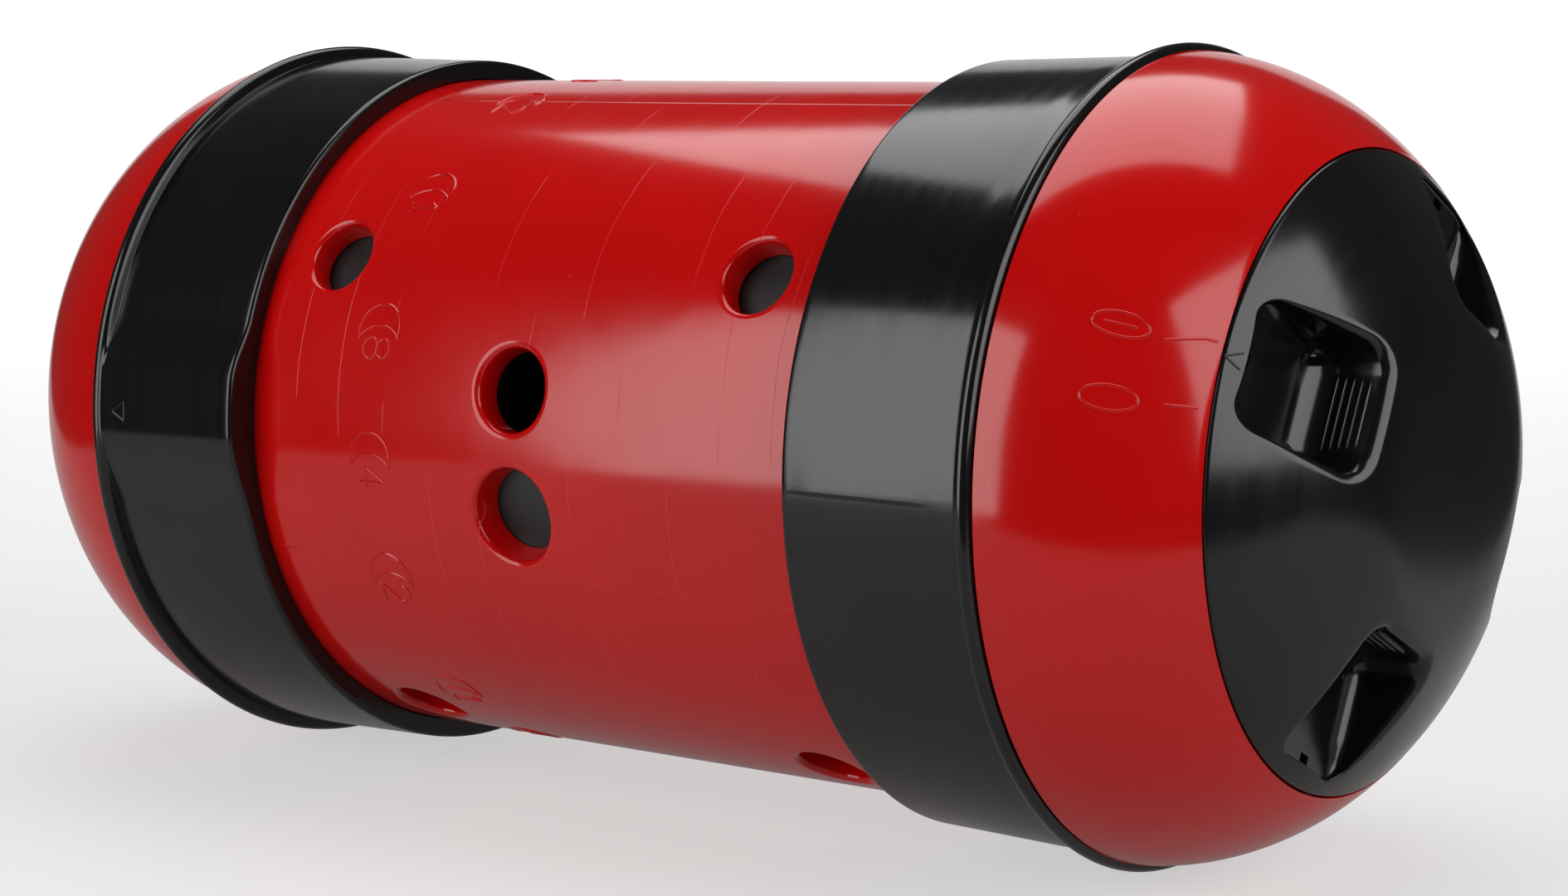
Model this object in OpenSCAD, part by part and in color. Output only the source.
// Free-rolling feed dispenser: a red barrel with twelve feed holes, a black
// shutter sleeve inside it that turns to open some of them, and two domed
// ends with black collars and bayonet caps.
// The roller's axis lies along X and the ground is at z = 0.
// Angles around the axis are measured from -Y, growing towards +Z.
// Both ends are the same mouldings, turned half a turn about Z.

/* [Barrel] */
// Outside diameter of the barrel
barrel_d = 224; // [210:1:240]
// Thickness of the barrel wall
barrel_wall = 5; // [4:0.5:6]
// Length of barrel that shows between the collars
barrel_show = 217; // [210:1:240]
// Barrel hidden under each collar
barrel_tuck = 41.5; // [38:0.5:44]

/* [Feed holes] */
// Diameter of the four holes in the middle row
middle_hole_d = 25.5; // [20:0.5:28]
// Diameter of the eight holes in the two outer rows
outer_hole_d = 23; // [16:0.5:25]
// Distance from the middle row to an outer row
row_offset = 83.5; // [70:0.5:86]
// Angle of the middle holes to each side of their pair's centre
pair_half_angle = 10; // [9.5:0.1:10.5]
// Angle of the first hole in each outer row
outer_hole_angle = 30.5; // [29:0.5:31]

/* [Settings] */
// Turn of the sleeve from setting 4 to setting 8, and from 4 back to 2
setting_step = 20; // [19:0.5:21]
// Turn of the sleeve from setting 4 back to setting 1
setting_one_turn = 46; // [45:0.5:48]

/* [Shutter sleeve] */
// Thickness of the sleeve wall
sleeve_wall = 3.5; // [3:0.5:4]
// Gap between turning faces
running_gap = 0.3; // [0.25:0.05:0.4]

/* [Collars] */
// Width of a collar from its end wall to its bead
collar_w = 66; // [60:1:70]
// Height of the bead above the barrel
bead_rise = 11.85; // [11:0.05:12.5]
// Height of the tread above the barrel at its inner edge
tread_rise = 6.8; // [6.4:0.1:7.2]
// Width of the raised pad around the collar, in degrees
pad_span = 24.7; // [20:0.1:28]
// Length of the raised pad along the collar
pad_l = 52; // [45:1:54]
// Angle of the left collar's pad
left_pad_angle = 1; // [0:0.5:4]
// Angle of the right collar's pad
right_pad_angle = 179; // [176:0.5:182]

/* [Domes] */
// Largest radius of a dome
dome_r = 122; // [120:0.5:123]
// Depth of the dome's curve along the axis
dome_semi = 98.7; // [94:0.1:102]
// Wall thickness of a dome
dome_wall = 5; // [4:0.5:6]

/* [Caps] */
// Outside diameter of a cap
cap_d = 186.6; // [180:0.2:190]
// Diameter of the flat hub in the middle of a cap
hub_d = 86; // [80:1:88]
// Wall thickness of a cap
cap_wall = 4; // [3.5:0.5:4.5]
// Angle of the cap's first finger recess
cap_angle = 27; // [20:1:34]
// Turn of a cap from closed to open
cap_turn = 10.5; // [10:0.5:12]
// Width of a finger recess
recess_w = 38.6; // [36:0.2:42]
// Distance from the axis to the recess's ribbed wall
recess_r = 49; // [48:0.5:52]

/* [Hidden] */
$fn = 96;

RED = [0.72, 0.03, 0.03];
BLACK = [0.06, 0.06, 0.07];
RUBBER = [0.10, 0.10, 0.11];
STEEL = [0.70, 0.71, 0.73];
NATURAL = [0.88, 0.87, 0.82];

QUARTERS = [0 : 90 : 270];
barrel_r = barrel_d / 2;
barrel_bore = barrel_r - barrel_wall;
barrel_half = barrel_show / 2 + barrel_tuck;

// the sleeve runs inside the hole bosses and the glide rings
sleeve_r = barrel_r - 9;
sleeve_bore = sleeve_r - sleeve_wall;
boss_wall = 4.5;
boss_bore = sleeve_r + running_gap;
flange_gap = 4;
flange_t = 4;
flange_r = barrel_r - 1;
sleeve_end = barrel_half + 1;
ring_w = 5;
ring_x = barrel_half - 22;

// collars
collar_x = barrel_show / 2;
collar_end = collar_x + collar_w;
axis_z = barrel_r + bead_rise;
bead_section = 2.6;
bead_x = collar_end - 2.7;
tread_r = barrel_r + tread_rise;
tread_far_r = tread_r + 1.2;
pad_r = axis_z - 0.65;
end_wall = 5;
collar_bore = barrel_r + 4.2;
key_w = 8;
key_x = collar_x + 24;
key_l = 18;
key_rise = 2;

// retaining rib on the barrel, trapped between a collar's end wall and a dome's skirt
rib_w = 4;
rib_x = collar_x + end_wall + 0.4;
rib_r = barrel_r + 3.4;
skirt_r = barrel_r + 4;
skirt_bore = barrel_r + running_gap;
skirt_x = rib_x + rib_w + 0.4;

// domes
dome_x = collar_end - 8;
web_x = barrel_half + flange_gap + flange_t;
web_t = 4;
web_bore = sleeve_bore - 1.5;
joint_bore = barrel_r - 1;
cap_r = cap_d / 2;
mouth_r = cap_r + 0.4;
mouth_x = dome_x + dome_semi * sqrt(1 - pow(mouth_r / dome_r, 2));
ledge_x = mouth_x - 6;
neck_bore = cap_r - 8.7;
neck_l = 10.5;
neck_x = ledge_x - neck_l;
bayonet_r = neck_bore + 4.8;

// caps
cap_skirt_r = neck_bore - 0.4;
cap_skirt_bore = cap_skirt_r - 3.7;
flange_x = ledge_x + 2.5;
hub_r = hub_d / 2;
hub_x = dome_x + dome_semi * sqrt(1 - pow(hub_r / dome_r, 2));
lug_r = bayonet_r - 0.5;
lug_t = 4.7;
lug_x = neck_x - 0.3 - lug_t;
lug_half = 4.25;
gap_half = 4.75;
stop_span = 3;
recess_floor = mouth_x + 3;
recess_l = 39;
recess_corner = 10;
recess_wall = 3;
rib_count = 5;
grip_pitch = 2.5;
grip_t = 1.2;
grip_w = 24;
grip_rise = 0.8;
slot_w = 5;
slot_t = 2.8;
slot_r = neck_bore + 2.2;

// fasteners
screw_d = 4;
screw_count = 6;
screw_step = 360 / screw_count;
screw_angle = 42;
skirt_screw_x = barrel_half - 14;
web_screw_r = barrel_r - 6;
head_d = 8;
head_t = 2.6;

// Places children with their z pointing out from the axis and their x along it
module at(x, angle)
    translate([0, 0, axis_z]) rotate([-angle, 0, 0]) translate([x, 0, 0]) rotate([90, 0, 0]) children();

// Turns a profile drawn as (radius, position along X) around the roller's axis
module turned() translate([0, 0, axis_z]) rotate([0, 90, 0]) rotate_extrude() children();

// Part of a rectangular ring, between two angles
module sector(r_in, r_out, x_in, x_out, from, to)
    translate([0, 0, axis_z]) rotate([0, 90, 0]) rotate([0, 0, -90 - to])
        rotate_extrude(angle = to - from) translate([r_in, x_in]) square([r_out - r_in, x_out - x_in]);

module ring(r_in, r_out, x_in, x_out)
    turned() translate([r_in, x_in]) square([r_out - r_in, x_out - x_in]);

// The left end is the right end's moulding, turned half a turn
module left_hand() rotate([0, 0, 180]) children();
function left_angle(angle) = 180 - angle;

// Points on a dome's curve, moved inward by inset, between two angles from the axis
function dome_point(t, inset) = [(dome_r - inset) * sin(t), dome_x + (dome_semi - inset) * cos(t)];
function dome_curve(t_from, t_to, inset, steps = 14) =
    [for (i = [0 : steps]) dome_point(t_from + (t_to - t_from) * i / steps, inset)];
function angle_at_r(r, inset) = asin(r / (dome_r - inset));
function angle_at_x(x, inset) = acos((x - dome_x) / (dome_semi - inset));

// Radial cutter for one feed hole
module hole_cutter(x, angle, d) at(x, angle) cylinder(d = d, h = barrel_r + 2);

// Every hole of the barrel: a pair in the middle row at the front and another at the back,
// and four holes in each outer row
module barrel_holes(extra, r_from, r_to) {
    for (side = [-1, 1]) {
        for (q = [0, 180])
            at(0, q + side * pair_half_angle) translate([0, 0, r_from])
                cylinder(d = middle_hole_d + extra, h = r_to - r_from);
        for (q = QUARTERS)
            at(side * row_offset, q + outer_hole_angle) translate([0, 0, r_from])
                cylinder(d = outer_hole_d + extra, h = r_to - r_from);
    }
}

module barrel() color(RED) difference() {
    union() {
        ring(barrel_bore, barrel_r, -barrel_half, barrel_half);
        ring(barrel_r - 1, rib_r, rib_x, rib_x + rib_w);
        ring(barrel_r - 1, rib_r, -rib_x - rib_w, -rib_x);
        difference() {
            barrel_holes(2 * boss_wall, boss_bore - 3, barrel_r - 2);
            ring(0, boss_bore, -barrel_half, barrel_half);
        }
    }
    barrel_holes(0, boss_bore - 5, barrel_r + 2);
    for (i = [0 : screw_count - 1])
        at(skirt_screw_x, screw_angle + i * screw_step) translate([0, 0, barrel_bore + 0.4])
            cylinder(d = screw_d, h = barrel_wall + 1);
}

// Sleeve holes that face as many barrel holes as the setting's number: the middle pair at 2,
// the same pair and one hole in each outer row at 4, all the outer holes at 8, and one at 1
module sleeve_holes() {
    for (q = [0, 180]) hole_cutter(0, q + pair_half_angle, middle_hole_d);
    for (q = QUARTERS) {
        hole_cutter(-row_offset, q + outer_hole_angle - setting_step, outer_hole_d);
        hole_cutter(row_offset, q + outer_hole_angle - setting_step, outer_hole_d);
    }
    hole_cutter(-row_offset, outer_hole_angle + 90, outer_hole_d);
    hole_cutter(row_offset, outer_hole_angle + 180, outer_hole_d);
    hole_cutter(-row_offset, outer_hole_angle + setting_one_turn, outer_hole_d);
}

module shutter_sleeve() color(BLACK) difference() {
    union() {
        ring(sleeve_bore, sleeve_r, -web_x, sleeve_end);
        ring(sleeve_r - 1, flange_r, -web_x, -web_x + flange_t);
    }
    sleeve_holes();
    web_screws_in_place(screw_d, flange_t + 2);
}

// Slippery rings that carry the sleeve near each end of the barrel
module glide_ring() color(NATURAL)
    ring(sleeve_r + running_gap, barrel_bore, ring_x, ring_x + ring_w);
module right_glide_ring() glide_ring();
module left_glide_ring() left_hand() glide_ring();

// Rubber ring on the sleeve's flange, which rubs on the barrel's end and holds the setting
module left_friction_ring() color(RUBBER)
    ring(sleeve_r + 1, flange_r, -web_x + flange_t, -barrel_half - running_gap);

// Ring on the right dome's web that keeps the sleeve from shifting to the right
module right_thrust_ring() color(NATURAL)
    ring(web_bore + 0.5, barrel_r - 0.2, sleeve_end + running_gap, web_x);

// One end dome: skirt over the barrel, web, shell and bayonet neck
module dome(pad_angle) difference() {
    union() {
        turned() polygon(concat(
            [[skirt_bore, skirt_x], [skirt_r, skirt_x], [skirt_r, collar_end]],
            dome_curve(angle_at_x(collar_end, 0), angle_at_r(mouth_r, 0), 0),
            [[mouth_r, ledge_x], [neck_bore, ledge_x], [neck_bore, neck_x]],
            dome_curve(angle_at_x(neck_x, dome_wall), angle_at_x(collar_end + 3, dome_wall), dome_wall),
            [[joint_bore, collar_end + 2], [joint_bore, web_x + web_t], [web_bore, web_x + web_t],
             [web_bore, web_x], [skirt_bore, web_x]]));
        sector(skirt_r - 0.5, skirt_r + key_rise, key_x, key_x + key_l,
               pad_angle - key_w / 2, pad_angle + key_w / 2);
        for (q = QUARTERS)
            sector(neck_bore + 1, bayonet_r + 3, lug_x, neck_x + 1, q + cap_angle + lug_half + 0.3,
                   q + cap_angle + lug_half + 0.3 + stop_span);
    }
    for (q = QUARTERS)
        sector(neck_bore - 1, bayonet_r, neck_x - 1, ledge_x + 1,
               q + cap_angle - cap_turn - gap_half, q + cap_angle - cap_turn + gap_half);
}

module right_dome() color(RED) difference() {
    dome(right_pad_angle);
    skirt_screws_in_place(0);
}

module left_dome() color(RED) difference() {
    left_hand() dome(left_angle(left_pad_angle));
    web_screws_in_place(screw_d, web_t + 2);
}

// Countersunk screws through the right dome's skirt into the barrel
module skirt_screws_in_place(gap) for (i = [0 : screw_count - 1])
    at(skirt_screw_x, screw_angle + i * screw_step) {
        translate([0, 0, barrel_bore + 0.4 + gap]) cylinder(d = screw_d, h = skirt_r - barrel_bore - 1);
        translate([0, 0, skirt_r - head_t]) cylinder(d1 = screw_d, d2 = head_d, h = head_t - 0.1);
        translate([0, 0, skirt_r - 0.1]) cylinder(d = head_d, h = 0.1 + (gap > 0 ? 0 : 1));
    }

// Axial screws through the left dome's web into the sleeve's flange
module web_screws_in_place(d, reach) for (i = [0 : screw_count - 1])
    at(-web_x, screw_angle + i * screw_step) translate([-reach, 0, web_screw_r])
        rotate([0, 90, 0]) cylinder(d = d, h = 2 * reach);

module right_dome_screws() color(STEEL) skirt_screws_in_place(0.01);

module left_dome_screws() color(STEEL) for (i = [0 : screw_count - 1])
    at(-web_x, screw_angle + i * screw_step) translate([0, 0, web_screw_r]) rotate([0, 90, 0]) {
        translate([0, 0, -web_t]) cylinder(d = screw_d, h = web_t + flange_t - 0.3);
        translate([0, 0, -web_t - head_t]) cylinder(d = head_d, h = head_t);
    }

// Collar that hides the joint: end wall, tread, bead and one raised pad
module collar(pad_angle) color(BLACK) difference() {
    union() {
        turned() {
            polygon([[barrel_r + 0.4, collar_x], [tread_r - 1.2, collar_x], [tread_r, collar_x + 1.2],
                     [tread_far_r, bead_x - bead_section - 2.6], [tread_far_r - 0.6, bead_x - bead_section],
                     [axis_z - bead_section, bead_x], [dome_r - 0.4, collar_end],
                     [collar_bore, collar_end], [collar_bore, collar_x + end_wall],
                     [barrel_r + 0.4, collar_x + end_wall]]);
            translate([axis_z - bead_section, bead_x]) circle(r = bead_section);
        }
        sector(tread_r - 2, pad_r, collar_x, collar_x + pad_l, pad_angle - pad_span / 2, pad_angle + pad_span / 2);
        at(collar_x + pad_l - 8, pad_angle) translate([0, 0, pad_r - 0.5])
            cylinder(d = 8, h = 1, $fn = 3);
    }
    sector(collar_bore - 1, skirt_r + key_rise + 0.3, key_x - 0.2, key_x + key_l + 0.2,
           pad_angle - key_w / 2 - 0.15, pad_angle + key_w / 2 + 0.15);
}
module right_collar() collar(right_pad_angle);
module left_collar() left_hand() collar(left_angle(left_pad_angle));

// Outline of one finger recess, drawn from above, with x away from the axis
module recess_outline(grow) {
    w = recess_w + 2 * grow;
    l = recess_l + 2 * grow;
    c = recess_corner + grow;
    translate([recess_r - grow, 0]) {
        translate([c, -w / 2]) square([l - 2 * c, w]);
        translate([0, c - w / 2]) square([l, w - 2 * c]);
        for (u = [c, l - c], v = [c - w / 2, w / 2 - c]) translate([u, v]) circle(r = c);
    }
}

// Places children, drawn in (distance from the axis, across), on one recess of the cap
module on_recess(q, x)
    at(x, q + cap_angle) rotate([0, 90, 0]) mirror([1, 0, 0]) children();

// Bayonet cap: crown with four finger recesses, skirt and four lugs
module cap() color(BLACK) difference() {
    union() {
        turned() polygon(concat(
            [[0, hub_x]],
            dome_curve(angle_at_r(hub_r, 0), angle_at_r(cap_r, 0), 0),
            [[cap_r, flange_x], [cap_skirt_r, flange_x], [cap_skirt_r, lug_x],
             [cap_skirt_bore, lug_x]],
            dome_curve(angle_at_r(cap_skirt_bore, cap_wall), angle_at_r(hub_r, cap_wall), cap_wall),
            [[0, hub_x - cap_wall]]));
        intersection() {
            turned() polygon(concat(
                [[0, recess_floor - recess_wall], [0, hub_x - 1], [hub_r, hub_x - 1]],
                dome_curve(angle_at_r(hub_r, 0.5), angle_at_r(cap_r - 0.5, 0.5), 0.5),
                [[cap_r - 0.5, recess_floor - recess_wall]]));
            union() for (q = QUARTERS) on_recess(q, recess_floor - recess_wall)
                linear_extrude(hub_x - recess_floor + recess_wall) recess_outline(recess_wall);
        }
        for (q = QUARTERS)
            sector(cap_skirt_r - 1, lug_r, lug_x, lug_x + lug_t,
                   q + cap_angle - lug_half, q + cap_angle + lug_half);
    }
    for (q = QUARTERS) {
        on_recess(q, recess_floor) difference() {
            linear_extrude(hub_x - recess_floor + 2) recess_outline(0);
            for (i = [0 : rib_count - 1])
                translate([recess_r - 1, -grip_w / 2, 7 + i * grip_pitch])
                    cube([1 + grip_rise, grip_w, grip_t]);
        }
        on_recess(q, flange_x - 1) translate([slot_r, -slot_w / 2, 0])
            cube([slot_t, slot_w, recess_floor - flange_x + 2]);
    }
}
module right_cap() cap();
module left_cap() left_hand() cap();

// Rubber ring between a cap's flange and the ledge in its dome
module cap_seal() color(RUBBER)
    ring(slot_r + slot_t + 0.3, cap_r - 0.6, ledge_x + running_gap, flange_x);
module right_cap_seal() cap_seal();
module left_cap_seal() left_hand() cap_seal();

barrel();
shutter_sleeve();
left_glide_ring();
right_glide_ring();
left_friction_ring();
right_thrust_ring();
left_dome();
right_dome();
left_dome_screws();
right_dome_screws();
left_collar();
right_collar();
left_cap();
right_cap();
left_cap_seal();
right_cap_seal();
